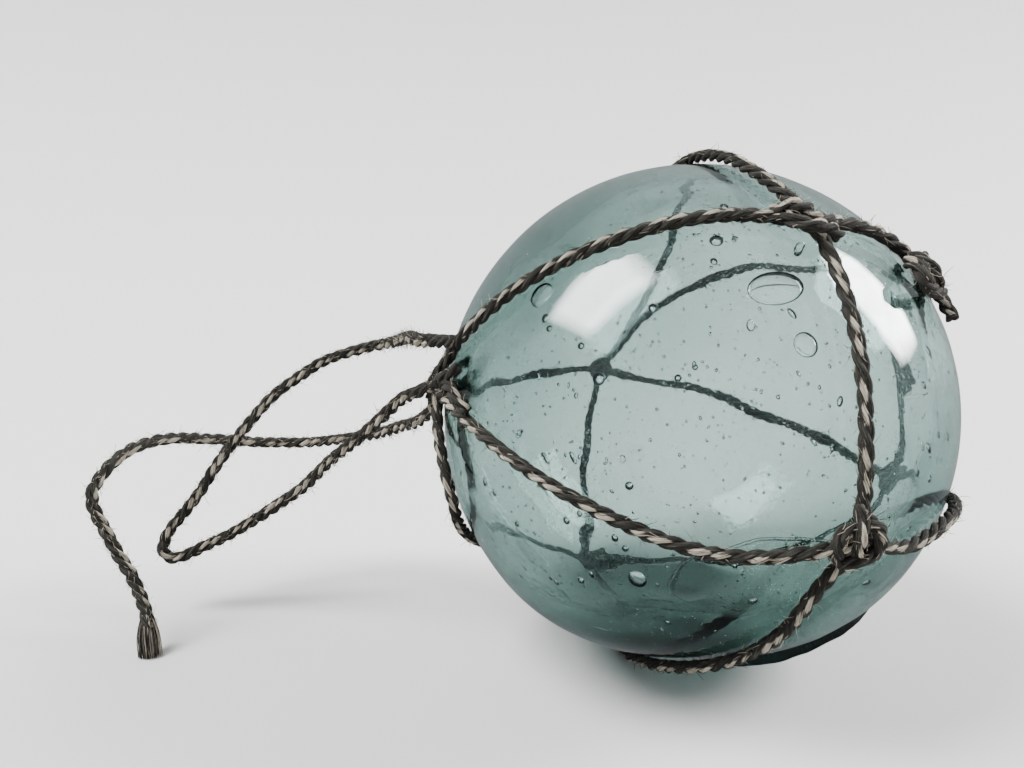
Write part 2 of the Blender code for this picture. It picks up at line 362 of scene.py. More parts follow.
def makeTwineLook():
    # dark fibres with cream ones where the strand's own cream yarn comes to the surface
    look = Finish("weathered_twine", Specular_IOR_Level=twineFinish["gloss"],
                  Sheen_Weight=twineFinish["sheen"], Sheen_Roughness=twineFinish["sheenRoughness"])
    fibre = look.node("ShaderNodeAttribute", {"attribute_name": "fibre"}, {}, "Vector")
    pale = look.node("ShaderNodeAttribute", {"attribute_name": "pale"}, {}, "Fac")
    place = look.coordinate("Object")
    streaks = look.noise(look.scaled(fibre, twineFinish["fibreStretch"]), 1, 4, 0.65)
    patches = look.noise(place, twineFinish["patchScale"], 3)
    specks = look.noise(place, twineFinish["speckScale"], 2)
    worn = look.remap(patches, *twineFinish["patchRange"], twineFinish["leastWear"])
    wear = (look.remap(streaks, *twineFinish["wearRange"]) * worn).clamped()
    # depth carries the painted shade between the fibres: where the streaks, which also set the bump,
    # are low, the yarn takes its darker shade colour
    depth = look.remap(streaks, *twineFinish["paintedShadeRange"])

    def yarn(paintedShade, plain, rubbed):   # the painted shade between a yarn's fibres, the colour on them and where it is worn
        fibres = look.blend(depth, opaque(twineFinish[paintedShade]), opaque(twineFinish[plain]))
        return look.blend(wear, fibres, opaque(twineFinish[rubbed]))

    creamShows = look.remap(pale + streaks * twineFinish["raggedCream"], *twineFinish["creamRange"])
    look.feed(Base_Color=look.blend(creamShows, yarn("paintedShade", "dark", "worn"),
                                    yarn("creamPaintedShade", "cream", "creamWorn")),
              Roughness=look.remap(patches, 0.3, 0.7, *twineFinish["roughness"]))
    look.bump(streaks + specks * twineFinish["speckHeight"], 1.0, twineFinish["bumpDepth"])
    return look.material


# Mesh building

class Form:
    # vertices and faces; each vertex has a place along the fibre and how much cream yarn is there
    def __init__(self):
        self.points = []
        self.faces = []
        self.fibres = []
        self.pales = []

    def tube(self, path, radii, sides, pale=0.0, fibreStart=0.0, frames=None):
        # pale is one value, or one for each vertex of each ring
        first = len(self.points)
        run = 0.0
        for index, (point, (across, up)) in enumerate(zip(path, frames or frameAlong(path))):
            if index:
                run += (point - path[index - 1]).length
            for side in range(sides):
                angle = 2 * math.pi * side / sides
                sway = across * math.cos(angle) + up * math.sin(angle)
                self.points.append(point + sway * radii[index])
                self.fibres.append((fibreStart + run, radii[index] * math.cos(angle) + 3 * fibreStart,
                                    radii[index] * math.sin(angle)))
                self.pales.append(pale[index][side] if isinstance(pale, list) else pale)
        for ring in range(len(path) - 1):
            for side in range(sides):
                a = first + ring * sides + side
                b = first + ring * sides + (side + 1) % sides
                self.faces.append((a, b, b + sides, a + sides))
        self.faces.append(tuple(first + side for side in reversed(range(sides))))
        self.faces.append(tuple(first + (len(path) - 1) * sides + side for side in range(sides)))

    def surface(self, shape, flip=False):      # adds a bmesh
        first = len(self.points)
        shape.verts.index_update()
        for vertex in shape.verts:
            self.points.append(vertex.co.copy())
            self.fibres.append((0, 0, 0))
            self.pales.append(0)
        for face in shape.faces:
            corners = [first + vertex.index for vertex in face.verts]
            self.faces.append(tuple(reversed(corners)) if flip else tuple(corners))

    def build(self, name, material):
        mesh = bpy.data.meshes.new(name)
        mesh.from_pydata(self.points, [], self.faces)
        mesh.materials.append(material)
        fibre = mesh.attributes.new("fibre", "FLOAT_VECTOR", "POINT")
        fibre.data.foreach_set("vector", [number for place in self.fibres for number in place])
        mesh.attributes.new("pale", "FLOAT", "POINT").data.foreach_set("value", self.pales)
        mesh.shade_smooth()
        made = bpy.data.objects.new(name, mesh)
        bpy.context.scene.collection.objects.link(made)
        return made


def frameAlong(path, outOf=None):
    # two directions across a path at each point; the first points away from outOf, or turns as
    # little as it can
    across = None
    frames = []
    for index in range(len(path)):
        tangent = (path[min(index + 1, len(path) - 1)] - path[max(index - 1, 0)]).normalized()
        if outOf is not None:
            across = path[index] - outOf
        elif across is None:
            across = tangent.orthogonal()
        across = (across - tangent * across.dot(tangent)).normalized()
        frames.append((across, tangent.cross(across)))
    return frames


def smoothPath(route, spacing):      # a curve through a route's points, with evenly spaced points
    ends = [2 * route[0] - route[1], *route, 2 * route[-1] - route[-2]]
    fine = []
    steps = 12
    for a, b, c, d in zip(ends, ends[1:], ends[2:], ends[3:]):
        for step in range(steps):
            t = step / steps
            fine.append(0.5 * (2 * b + (c - a) * t + (2 * a - 5 * b + 4 * c - d) * t ** 2
                               + (3 * b - a - 3 * c + d) * t ** 3))
    fine.append(route[-1])
    runs = [(q - p).length for p, q in zip(fine, fine[1:])]
    total = sum(runs)
    count = max(2, round(total / spacing))
    points = [fine[0]]
    walked = 0
    for p, q, run in zip(fine, fine[1:], runs):
        while len(points) < count and walked + run >= len(points) * total / count:
            points.append(p.lerp(q, (len(points) * total / count - walked) / run))
        walked += run
    points.append(fine[-1])
    return points


def pathLength(path):
    return sum((q - p).length for p, q in zip(path, path[1:]))


def layTwine(form, path, turn, diameter=twine["diameter"], paleSide=0.0, outOf=None, sizes=None):
    # three strands twisted to the left around a path; the cream yarns face one side of the twine
    frames = frameAlong(path, outOf)
    run = 0.0
    around = turn
    sides = twine["sides"]
    lines = [[], [], []]
    radii = [[], [], []]
    pales = [[], [], []]
    strandFrames = [[], [], []]
    for index, point in enumerate(path):
        if index:
            step = (point - path[index - 1]).length
            run += step
            uneven = noise.noise(Vector((run * twine["layScale"], turn, 3)))
            tightness = 1 + twine["unevenLay"] * uneven
            around -= 2 * math.pi * step * tightness / twine["layLength"]
        size = (sizes[index] if sizes else 1) * diameter
        across, up = frames[index]
        wander = noise.noise(Vector((run * twine["wanderScale"], turn, 8)))
        facing = math.radians(paleSide) + twine["paleWander"] * wander
        for number in range(3):
            angle = around + number * 2 * math.pi / 3
            sway = across * math.cos(angle) + up * math.sin(angle)
            uneven = noise.noise(Vector((run * twine["unevenScale"], number * 7.3, turn)))
            swell = 1 + twine["unevenness"] * uneven
            lines[number].append(point + sway * twine["offsetShare"] * size)
            radii[number].append(twine["strandShare"] * swell * size)
            strandFrames[number].append((across, up))
            if number in twine["paleStrands"]:
                # the yarns lie along the twine, because the strands are twisted the other way
                turned = (angle - facing + math.pi) % (2 * math.pi) - math.pi
                uneven = noise.noise(Vector((run * twine["patchScale"], number * 5, turn)))
                patch = twine["paleFacing"] * math.cos(turned) + twine["palePatches"] * uneven
                middle = facing - twine["paleDrift"] * turned
                ring = [math.cos(2 * math.pi * side / sides - middle) for side in range(sides)]
                pales[number].append([patch + twine["paleRound"] * share for share in ring])
            else:
                pales[number].append([-1.0] * sides)
    for number in range(3):
        form.tube(lines[number], radii[number], sides, pales[number], turn + number * 0.37,
                  strandFrames[number])


# Loose hairs of the twine
fuzz = {
    "perMetre": 2600,
    "freePerMetre": 8000,
    "lengths": (0.0007, 0.0027),
    "shorter": (0.4, 1),
    "thickness": 0.000050,
    "taper": (1, 1, 0.8, 0.5),
    "bend": 0.32,
    "rootDepth": 0.85,               # where a hair starts, as a share of the twine's radius
    "lean": (0.15, 1.2),             # how far it stands out
    "creamShare": 0.6,
}


def addHair(form, start, way, length, pale, source):
    # one loose fibre, bent a little and tapering
    bend = Vector((source.uniform(-1, 1), source.uniform(-1, 1), source.uniform(-1, 1)))
    path = [start]
    steps = len(fuzz["taper"]) - 1
    for step in range(steps):
        way = (way + bend * fuzz["bend"]).normalized()
        path.append(path[-1] + way * length / steps)
    radii = [fuzz["thickness"] * share for share in fuzz["taper"]]
    form.tube(path, radii, 3, pale, source.uniform(0, 3))


def addFuzz(form, path, source, radius=cordRadius, perMetre=fuzz["perMetre"]):
    frames = frameAlong(path)
    for hair in range(round(pathLength(path) * perMetre)):
        index = source.randrange(1, len(path) - 1)
        across, up = frames[index]
        angle = source.uniform(0, 2 * math.pi)
        out = across * math.cos(angle) + up * math.sin(angle)
        along = (path[index + 1] - path[index]).normalized() * source.choice((-1, 1))
        start = keepAbove(path[index] + out * radius * fuzz["rootDepth"])
        way = (along + out * source.uniform(*fuzz["lean"])).normalized()
        length = source.uniform(*fuzz["lengths"]) * source.uniform(*fuzz["shorter"])
        pale = 1.0 if source.random() < fuzz["creamShare"] else -1.0
        addHair(form, start, way, length, pale, source)


def keepAbove(point):                # lifts a point that is too near the floor
    return Vector((point.x, point.y, max(point.z, twine["floorGap"])))


# The twine's material, shared by the net and both free cords

twineLook = makeTwineLook()
print("material of the twine made")


# Free cords

freeCords = {
    "stubLength": 0.0068,            # from the left knot's middle to where a free cord begins
    "stubPast": 0.0002,              # how far a stub reaches past that, so that no gap shows
    "straightStart": 0.004,          # how far a free cord runs straight out
}

# The points are those of the CAD's centre lines, from the left knot
hangingLoop = {
    "leaves": (-5, 4.5, -2.8),
    "returns": (-4.2, 5, -0.3),      # from where the loop is tied in
    "turn": 0.4,                     # how its strands start out around it, in radians
    "paleSide": 35,
    "seed": 11,
    "points": [
        (-0.012, 0.0095, -0.0085), (-0.0175, 0.0125, -0.0135), (-0.0235, 0.016, -0.0185),
        (-0.0295, 0.019, -0.0245), (-0.035, 0.0205, -0.0285), (-0.041, 0.021, -0.0325),
        (-0.0465, 0.0213, -0.0358), (-0.0517, 0.021, -0.0382), (-0.0556, 0.0206, -0.04),
        (-0.0584, 0.0204, -0.0406), (-0.0602, 0.0206, -0.0392), (-0.06, 0.021, -0.0368),
        (-0.0584, 0.0217, -0.034), (-0.056, 0.023, -0.031), (-0.053, 0.024, -0.027),
        (-0.05, 0.0255, -0.022), (-0.0465, 0.0273, -0.017), (-0.0425, 0.029, -0.012),
        (-0.0385, 0.031, -0.0075), (-0.0333, 0.0324, -0.0037), (-0.0278, 0.033, -0.0003),
        (-0.0223, 0.033, 0.0016), (-0.0165, 0.0314, 0.0032), (-0.0123, 0.0278, 0.0043),
        (-0.0096, 0.022, 0.0054), (-0.0076, 0.015, 0.0065), (-0.0056, 0.008, 0.0074),
    ],
}

looseTail = {
    "leaves": (-1.3, 6.3, -4.6),
    "turn": 1.1,
    "paleSide": 200,
    "seed": 23,
    "points": [
        (-0.0055, 0.0142, -0.01), (-0.009, 0.019, -0.0118), (-0.015, 0.0266, -0.015),
        (-0.022, 0.0333, -0.0175), (-0.0286, 0.038, -0.0193), (-0.035, 0.04, -0.0202),
        (-0.0406, 0.04, -0.0202), (-0.0457, 0.038, -0.0196), (-0.0504, 0.035, -0.0184),
        (-0.054, 0.0303, -0.0171), (-0.0574, 0.0254, -0.0158), (-0.0608, 0.0214, -0.0155),
        (-0.0637, 0.0173, -0.0162), (-0.0656, 0.014, -0.0178), (-0.0671, 0.0116, -0.02),
        (-0.0684, 0.0101, -0.0228), (-0.0684, 0.0097, -0.0257), (-0.067, 0.0092, -0.0286),
        (-0.0649, 0.0086, -0.0325), (-0.0628, 0.0078, -0.0359), (-0.0607, 0.0067, -0.0383),
        (-0.0589, 0.0054, -0.0408), (-0.0574, 0.0041, -0.0431), (-0.0562, 0.0028, -0.0453),
        (-0.0554, 0.0014, -0.0475), (-0.0548, 0.0003, -0.049), (-0.0545, -0.0003, -0.0502),
    ],
    "brushStart": 0.0068,            # how much of the end is frayed
    "brushFibres": 240,
    "brushRoot": 0.8,                # how wide it starts, as a share of the twine
    "brushSpread": 0.0018,
    "brushStray": 0.0005,
    "brushBow": 0.0003,              # how far its fibres bow out at their middles
    "fibreStation": 0.0012,
    "brushSwell": 0.25,              # how much thicker the twine gets where it untwists
    "fibreThickness": (0.00008, 0.00015),
    "fibreTaper": 0.5,
    "creamSide": 0.55,               # past this, across the brush, every fibre is cream
    "creamStray": 0.1,               # the share of the other fibres that are cream too
    "mixedYarn": (0.5, 0.95),        # how cream the rest are
}


def freePath(cord):
    begin = freeCords["stubLength"] + twine["clearance"]
    reaches = (begin, begin + freeCords["straightStart"])
    away = Vector(cord["leaves"]).normalized()
    route = [leftKnot + away * reach for reach in reaches]
    route += [leftKnot + Vector(point) for point in cord["points"]]
    if "returns" in cord:
        back = Vector(cord["returns"]).normalized()
        route += [tiedPlace + back * reach for reach in reversed(reaches)]
    return smoothPath(route, twine["station"])


def makeHangingLoop():
    path = freePath(hangingLoop)
    form = Form()
    layTwine(form, path, hangingLoop["turn"], twine["freeDiameter"], hangingLoop["paleSide"])
    addFuzz(form, path, random.Random(hangingLoop["seed"]), freeCordRadius, fuzz["freePerMetre"])
    made = form.build("hanging_loop_twine", twineLook)
    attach(made, "root")
    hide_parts("hanging_loop")
    pathLength(path)
    print("hanging loop laid,", round(pathLength(path) * 1000), "mm")


def makeLooseTail():
    path = freePath(looseTail)
    source = random.Random(looseTail["seed"])
    brushRings = round(looseTail["brushStart"] / twine["station"])
    solid = len(path) - brushRings // 2
    sizes = [1.0] * len(path)
    for index in range(len(path) - brushRings, len(path)):
        sizes[index] = 1 + looseTail["brushSwell"] * (index - len(path) + brushRings) / brushRings
    form = Form()
    layTwine(form, path[:solid], looseTail["turn"], twine["freeDiameter"], looseTail["paleSide"],
             sizes=sizes[:solid])
    addFuzz(form, path[:solid], source, freeCordRadius, fuzz["freePerMetre"])
    addBrush(form, path, brushRings, source)
    made = form.build("loose_tail_twine", twineLook)
    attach(made, "root")
    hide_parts("loose_tail")
    pathLength(path)
    print("loose tail laid,", round(pathLength(path) * 1000), "mm")


def addBrush(form, path, rings, source):
    # the untwisted end: fibres that spread as they go down to the floor
    begin = path[-rings]
    across, up = frameAlong(path)[-rings]
    tip = path[-1]
    for fibre in range(looseTail["brushFibres"]):
        angle = source.uniform(0, 2 * math.pi)
        share = math.sqrt(source.random())
        sway = (across * math.cos(angle) + up * math.sin(angle)) * share
        stray = Vector((source.uniform(-1, 1), source.uniform(-1, 1), source.uniform(-0.3, 0.6)))
        stray *= looseTail["brushStray"]
        start = begin + sway * freeCordRadius * looseTail["brushRoot"]
        end = keepAbove(tip + Vector((sway.x, sway.y, 0)) * looseTail["brushSpread"] + stray
                        - Vector((0, 0, tip.z)))
        middle = keepAbove(start.lerp(end, 0.5) + sway * looseTail["brushBow"] + stray * 0.5)
        line = smoothPath([start, middle, end], looseTail["fibreStation"])
        thick = source.uniform(*looseTail["fibreThickness"])
        radii = [thick * (1 - looseTail["fibreTaper"] * step / len(line)) for step in range(len(line))]
        cream = sway.x > looseTail["creamSide"] or source.random() < looseTail["creamStray"]
        pale = 1.0 if cream else source.uniform(*looseTail["mixedYarn"])
        form.tube(line, radii, 4, pale, source.uniform(0, 3))


makeHangingLoop()
makeLooseTail()


# The net

# The net's strands: from knot, to knot, the directions that each passes between them, and the
# side that its cream yarns face, in degrees from straight out of the ball
netStrands = [
    ("left", "top", [loopTied, (-151, 25.6), (-124, 41.2), (-96, 48.3)], 8),
    ("left", "front", [(-146, 3.7), (-121, -5.3), (-96, -13)], -12),
    ("top", "front", [(-71.3, 27), (-72, 5)], 22),
    ("front", "under", [(-77, -21), (-81, -34), (-105, -61), underBall], 42),
    ("front", "low", [(-57, -14.8), (-41, -13.2), (-20, -14.6)], 0),
    ("top", "right", [(-59, 46.6), (-44, 43)], 10),
    ("top", "back", [(-74.5, 62), (-75, 78), (98, 72), (94, 42), (98, 21)], 0),
    ("left", "under", [(-167, -3), (-162.5, -12), (-164, -20), (-175, -29), (169, -38), (155, -47)],
     -65),
    ("left", "back", [(160, 6.7), (139, 8), (122, 6.5)], 0),
    ("back", "under", [(111, -10), (114, -28), (120, -46)], 30),
    ("right", "back", [(2, 38), (36, 39.5), (66, 34.5), (91, 23.5)], 0),
    ("right", "low", [(-10, 29.3), (0, 23.5), (1, 12), (0.5, -4)], 0),
    ("back", "low", [(86, -1), (60, -11.5), (32, -18.4)], -30),
    ("low", "under", [(2, -31), (25, -58), (70, -68)], 0),
]

# The bights of cord that show in the knots on the camera's side: the pixels of the photograph
# that each passes, and how far it stands above a strand of the net there, in millimetres
knotBights = {
    "top": [
        [(772, 212, 0.0), (781, 209, 1.0), (790, 205, 1.8), (800, 206, 1.9), (808, 210, 1.0),
         (811, 216, 0.0)],
        [(782, 214, 0.1), (790, 219, 1.2), (802, 223, 1.7), (816, 225, 1.7), (829, 228, 1.3),
         (838, 236, 0.2)],
        [(798, 213, 0.4), (811, 218, 1.0), (822, 219, 0.9), (832, 222, 0.2)],
    ],
    "front": [
        [(836, 560, 0.2), (838, 547, 1.0), (842, 536, 1.1), (849, 530, 0.8), (857, 531, 0.3)],
        [(860, 523, 0.5), (869, 521, 1.4), (877, 526, 1.6), (881, 536, 1.6), (879, 546, 1.3),
         (872, 555, 0.4)],
        [(841, 564, 0.1), (851, 563, 1.1), (862, 560, 1.3), (871, 554, 1.1), (880, 547, 0.3)],
        [(861, 505, 0.2), (862, 519, 1.1), (862, 532, 1.9), (860, 544, 1.8), (855, 557, 0.3)],
    ],
    "left": [
        [(432, 387, 0.5), (440, 380, 1.5), (449, 374, 1.5), (459, 367, 0.3)],
        [(440, 376, 0.3), (446, 384, 1.2), (452, 392, 1.4), (459, 402, 0.9), (467, 412, 0.1)],
        [(453, 350, 0.1), (445, 363, 1.0), (438, 374, 1.2), (432, 384, 0.9), (431, 398, 0.1)],
    ],
    "right": [
        [(911, 258, 0.2), (920, 259, 1.6), (930, 266, 2.3), (937, 278, 2.1), (936, 290, 1.0)],
        [(908, 262, 0.0), (917, 267, 1.2), (926, 279, 1.6), (931, 291, 0.9)],
        [(922, 257, 0.6), (922, 268, 1.7), (925, 281, 1.9), (934, 291, 1.2), (941, 293, 0.6)],
    ],
}

knotShape = {
    "turnRadius": 0.0024,
    "tilt": 24,                      # how far a plain knot's upper turn leans
    "shift": 0.0010,                 # and how far it lies beside the lower one
    "archShare": 1.5,                # how high the cord over it arches, in radii of the cord
    "archSink": 0.0002,              # how far the arch goes down into the turns
    "archSway": 0.0004,
    "coreShare": 0.55,               # the core of a knot with bights, as a share of a turn
    "paleSides": (-70, 70),          # the sides that the cream yarns of a bight may face
    "cutEndTowards": (-37, 22),      # from the right knot
    "cutEndLength": 0.0062,
    "cutEndTurn": 2.0,               # how its strands start out around it, in radians
    "cutEndPaleSide": 90,
    "seed": 5,
}


def strandPath(first, last, between):
    aims = [direction(knots[first]), *(direction(place) for place in between), direction(knots[last])]
    route = smoothPath([aim * cordPathRadius(aim) for aim in aims], twine["station"])
    return [onBall(point.normalized()) for point in route]


def turnPath(middle, outward, tilt, spin, radius):
    # a turn of cord lying on the ball, leaning by tilt
    lie = outward.to_track_quat("Z", "Y").to_matrix()
    lean = Matrix.Rotation(math.radians(spin), 3, "Z") @ Matrix.Rotation(math.radians(tilt), 3, "X")
    steps = round(2 * math.pi * radius / twine["station"])
    points = []
    for step in range(steps + 1):
        angle = 2 * math.pi * step / steps
        flat = Vector((math.cos(angle) * radius, math.sin(angle) * radius, 0))
        points.append(middle + lie @ (lean @ flat))
    return points


def bridgePath(middle, outward, spin, reach, height):
    # a short length of cord that arches over a knot
    lie = outward.to_track_quat("Z", "Y").to_matrix()
    turned = Matrix.Rotation(math.radians(spin), 3, "Z")
    route = []
    for share in (-1, -0.6, 0, 0.6, 1):
        arch = height * (1 - share * share) - knotShape["archSink"]
        route.append(Vector((share * reach, knotShape["archSway"] * math.sin(3 * share), arch)))
    return smoothPath([middle + lie @ (turned @ point) for point in route], twine["station"])


def pixelPlace(pixel, lift):         # where a pixel's ray first comes within lift of a strand's path
    ray = pixelRay(pixel)
    start = camera.location - centre
    reach = ball["radius"] + twine["clearance"] + cordRadius + lift
    nearest = -ray.dot(start)
    inside = nearest ** 2 - start.length_squared + reach ** 2
    place = start + ray * (nearest - math.sqrt(max(inside, 0)))
    aim = place.normalized()
    return onBall(aim, max(lift, place.length - cordPathRadius(aim) if inside < 0 else lift))


def tieKnot(form, name, source):
    # two turns of cord and a length that arches over them
    aim = direction(knots[name])
    spin = source.uniform(0, 360)
    aside = aim.cross(Vector((0.3, 0.2, 1))).normalized() * knotShape["shift"] / 2
    radius = knotShape["turnRadius"]
    rise = (radius + cordRadius) * math.sin(math.radians(knotShape["tilt"])) / 2
    low = turnPath(onBall(aim) - aside, aim, 0, spin, radius)
    high = turnPath(onBall(aim, 2 * rise) + aside, aim, knotShape["tilt"], 0, radius)
    over = bridgePath(onBall(aim, rise), aim, spin * 0.5, radius, cordRadius * knotShape["archShare"])
    for path in (low, high, over):
        layTwine(form, path, source.uniform(0, 6), outOf=centre)
        addFuzz(form, path, source)


def tieSeenKnot(form, name, source):
    # the bights that the photograph shows, over one flat turn that fills the knot
    aim = direction(knots[name])
    core = turnPath(onBall(aim), aim, 0, 0, knotShape["turnRadius"] * knotShape["coreShare"])
    layTwine(form, core, source.uniform(0, 6), outOf=centre)
    for bight in knotBights[name]:
        route = [pixelPlace((x, y), lift * millimetre) for x, y, lift in bight]
        path = smoothPath(route, twine["station"])
        layTwine(form, path, source.uniform(0, 6), paleSide=source.uniform(*knotShape["paleSides"]),
                 outOf=centre)
        addFuzz(form, path, source)


def makeNet():
    form = Form()
    source = random.Random(knotShape["seed"])
    for first, last, between, paleSide in netStrands:
        path = strandPath(first, last, between)
        layTwine(form, path, source.uniform(0, 6), paleSide=paleSide, outOf=centre)
        addFuzz(form, path, source)
    for name in knots:
        if name in knotBights:
            tieSeenKnot(form, name, source)
        else:
            tieKnot(form, name, source)
    start = onBall(direction(knots["right"]))
    along = (onBall(direction(knotShape["cutEndTowards"]), cordRadius) - start).normalized()
    cutEnd = smoothPath([start, start + along * knotShape["cutEndLength"]], twine["station"])
    layTwine(form, cutEnd, knotShape["cutEndTurn"], paleSide=knotShape["cutEndPaleSide"], outOf=centre)
    for root, leaves in ((leftKnot, hangingLoop["leaves"]), (tiedPlace, hangingLoop["returns"]),
                         (leftKnot, looseTail["leaves"])):
        away = Vector(leaves).normalized()
        reach = freeCords["stubLength"] + freeCords["stubPast"]
        stub = smoothPath([root, root + away * reach], twine["station"])
        layTwine(form, stub, source.uniform(0, 6), twine["freeDiameter"])
    form.points = [Vector((point.x, point.y, max(point.z, 0.0))) for point in form.points]
    made = form.build("net_twine", twineLook)
    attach(made, "root")
    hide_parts("net")
    print("net knotted,", sum(len(face) - 2 for face in form.faces), "triangles")


makeNet()


# The ball

def withinSeal(aim):                 # how far a direction is inside the seal's rim, along the glass
    reach = seal["radius"] + seal["lobeReach"] * bell(aim, lobeAim, seal["lobeSpread"])
    return reach - aim.angle(sealAim) * ball["radius"]


def sealRelief(aim):                 # how far the seal stands out of the ball along a direction
    inside = (withinSeal(aim) - seal["rimWave"] * noise.noise(aim * seal["rimScale"])) / seal["edge"]
    if inside < -1.5:                # past the groove
        return 0
    step = min(max(inside, 0), 1)
    rounded = math.sqrt(1 - (1 - step) ** 2)
    lump = seal["lump"] * noise.noise(aim * seal["lumpScale"] + Vector((4, 1, 7))) * step
    groove = seal["crease"] * math.exp(-(inside + 0.3) ** 2 * 6)
    rise = seal["crown"] - glassRadius(aim) + seal["lobeRise"] * bell(aim, lobeAim, seal["lobeSpread"])
    return rounded * rise + lump - groove


def outerSurface(aim):
    fine = ball["fineShare"] * noise.noise(aim * ball["fineScale"])
    wave = ball["outerWave"] * (noise.noise(aim * ball["outerScale"]) + fine)
    return glassRadius(aim) + wave + sealRelief(aim)


def wallThickness(aim):
    extra = sum(more * bell(aim, towards, spread) for towards, more, spread in thickPlaces)
    wave = ball["innerWave"] * noise.noise(aim * ball["innerScale"] + Vector((9, 2, 5)))
    ripple = ball["innerRipple"] * noise.noise(aim * ball["rippleScale"])
    return max(ball["wall"] + extra + wave + ripple, ball["thinnestWall"])


# Bubbles large enough to be seen one by one: azimuth, elevation, half length, half width,
# how flat they are and how far they are turned from pointing at the seal
largeBubbles = [
    (-84, 34, 0.0041, 0.0026, 0.16, 78), (-80, 23, 0.0018, 0.0017, 0.18, 0),
    (-96, 45, 0.0010, 0.0010, 0.7, 0), (-110, 30, 0.0007, 0.0006, 0.9, 0),
    (-124, 22, 0.0005, 0.0005, 1, 0), (-119, 16, 0.0009, 0.0009, 0.8, 0),
    (-135, 27, 0.0007, 0.0006, 0.8, 0), (-133, 25, 0.0005, 0.0005, 1, 0),
    (-104, 17, 0.0005, 0.0005, 1, 0), (-101, 19, 0.0004, 0.0004, 1, 0),
    (-97, 40, 0.0006, 0.0005, 0.9, 0), (-92, 55, 0.0007, 0.0006, 0.9, 0),
    (-139, 32, 0.0021, 0.0020, 0.12, 0), (-112, -3, 0.0006, 0.0006, 1, 0),
    (-129, 0, 0.0010, 0.0004, 0.8, 20), (-123, 1, 0.0010, 0.0004, 0.8, 15),
    (-125, -12, 0.0006, 0.0005, 1, 0), (-122, -10, 0.0005, 0.0004, 1, 0),
    (-144, -10, 0.0006, 0.0004, 1, 0), (-115, -14, 0.0006, 0.0005, 1, 0),
    (-113, -16, 0.0005, 0.0005, 1, 0), (-124, -26, 0.0006, 0.0005, 1, 0),
    (-111, -23, 0.0015, 0.0013, 0.3, 0), (-87, -27, 0.0007, 0.0005, 0.9, 90),
    (-60, -25, 0.0010, 0.0005, 0.8, 60), (-135, -32, 0.0012, 0.0003, 0.8, 40),
    (-124, -42, 0.0012, 0.0003, 0.8, 60), (-52, 14, 0.0007, 0.0004, 0.9, 20),
    (-47, 20, 0.0009, 0.0005, 0.8, 10), (-45, 24, 0.0006, 0.0005, 0.9, 0),
    (-43, 3, 0.0008, 0.0004, 0.9, 15), (-50, -4, 0.0006, 0.0005, 0.9, 0),
    (60, 20, 0.0016, 0.0012, 0.5, 0), (140, -12, 0.0013, 0.0011, 0.5, 30),
    (30, 48, 0.0018, 0.0010, 0.4, 70), (175, 52, 0.0012, 0.0011, 0.6, 0),
    (-10, 30, 0.0014, 0.0012, 0.4, 0), (100, -30, 0.0015, 0.0010, 0.5, 20),
]

smallBubbles = {
    # how many, the half widths, how many times longer than wide at most, and the icosphere's detail
    "seeds": (2600, (0.00013, 0.00025), 1.7, 1),
    "blisters": (110, (0.00022, 0.00050), 2.2, 2),
    "clusters": 46,                  # some of them gather around this many places
    "clusterShare": 0.25,
    "clusterSpread": 0.16,
    "sizePower": 1.3,                # more than 1 makes most of them small
    "depths": (0.25, 0.75),          # how far into the wall they lie, as a share of it
    "room": 0.9,                     # how much of the wall's thickness there they may fill
    "turnSpread": 25,
    "seed": 3,
}


def addBubble(form, aim, length, across, flat, depth, turned, detail):
    # a hollow in the wall, drawn out towards the seal as the glass was blown
    wall = wallThickness(aim)
    thick = min(across * flat, wall * smallBubbles["room"] * min(depth, 1 - depth))
    draw = (sealAim - aim * sealAim.dot(aim)).normalized()
    draw = Matrix.Rotation(math.radians(turned), 3, aim) @ draw
    side = aim.cross(draw)
    place = centre + aim * (glassRadius(aim) - wall * depth)
    axes = Matrix((draw * length, side * across, aim * thick)).transposed().to_4x4()
    shape = bmesh.new()
    bmesh.ops.create_icosphere(shape, subdivisions=detail, radius=1,
                               matrix=Matrix.Translation(place) @ axes)
    inward = sum(face.normal.dot(face.calc_center_median() - place) for face in shape.faces) < 0
    form.surface(shape, flip=not inward)
    shape.free()


def randomAim(source):
    return Vector((source.gauss(0, 1), source.gauss(0, 1), source.gauss(0, 1))).normalized()


def addSmallBubbles(form, source):
    gathers = [randomAim(source) for gather in range(smallBubbles["clusters"])]
    for kind in ("seeds", "blisters"):
        count, (low, high), stretch, detail = smallBubbles[kind]
        for bubble in range(count):
            aim = randomAim(source)
            if source.random() < smallBubbles["clusterShare"]:
                aim = (source.choice(gathers) + aim * smallBubbles["clusterSpread"]).normalized()
            across = low + (high - low) * source.random() ** smallBubbles["sizePower"]
            addBubble(form, aim, across * source.uniform(1, stretch), across, 1,
                      source.uniform(*smallBubbles["depths"]),
                      source.gauss(0, smallBubbles["turnSpread"]), detail)


def sealRimEdges(shape, reach):      # the edges near the seal's rim, which need finer faces
    near = {vertex for vertex in shape.verts if abs(withinSeal(vertex.co)) < reach}
    return [edge for edge in shape.edges if near.issuperset(edge.verts)]


